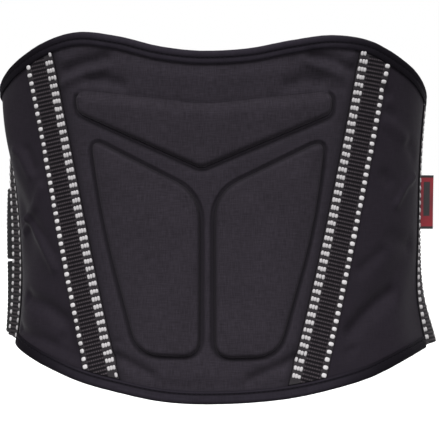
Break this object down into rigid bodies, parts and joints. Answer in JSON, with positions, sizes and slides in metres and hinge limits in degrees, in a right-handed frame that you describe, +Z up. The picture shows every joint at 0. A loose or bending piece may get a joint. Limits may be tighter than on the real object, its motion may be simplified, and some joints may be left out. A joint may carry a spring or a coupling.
{
  "type": "kidney belt",
  "caption": "Padded kidney belt closed in a loop: shaped back panel with raised foam pads, reflective tapes, bound edges, elastic side straps and a hook-and-loop front closure.",
  "frame": {"origin": "middle of the loop, on the waist's axis, at mid height of the back panel's middle line", "axes": "+Z up along the wearer's waist, -Y outwards through the middle of the back panel, +X to the right seen from behind"},
  "size_m": [0.3407, 0.2525, 0.2674],
  "materials": {
    "panel": "fine knit over thin foam, matte",
    "pad": "fine knit pressed over foam, matte",
    "binding": "smooth woven binding, slight sheen",
    "tape": "ribbed woven tape with white reflective marks",
    "elastic": "knitted elastic, matte",
    "closure": "brushed loop pile and hook tape",
    "label": "woven label, bare"
  },
  "bodies": {
    "root": {"back_panel": "panel", "side_panel_left": "panel", "side_panel_right": "panel", "upper_pad": "pad", "lower_pad_left": "pad", "lower_pad_right": "pad", "top_binding": "binding", "bottom_binding": "binding", "tape_left": "tape", "tape_right": "tape", "side_tape_left": "tape", "side_tape_right": "tape", "upper_strap_left": "elastic", "upper_strap_right": "elastic", "lower_strap_left": "elastic", "lower_strap_right": "elastic", "front_tab_left": "closure", "front_tab_right": "closure", "hook_patch": "closure", "label": "label"}
  },
  "joints": []
}
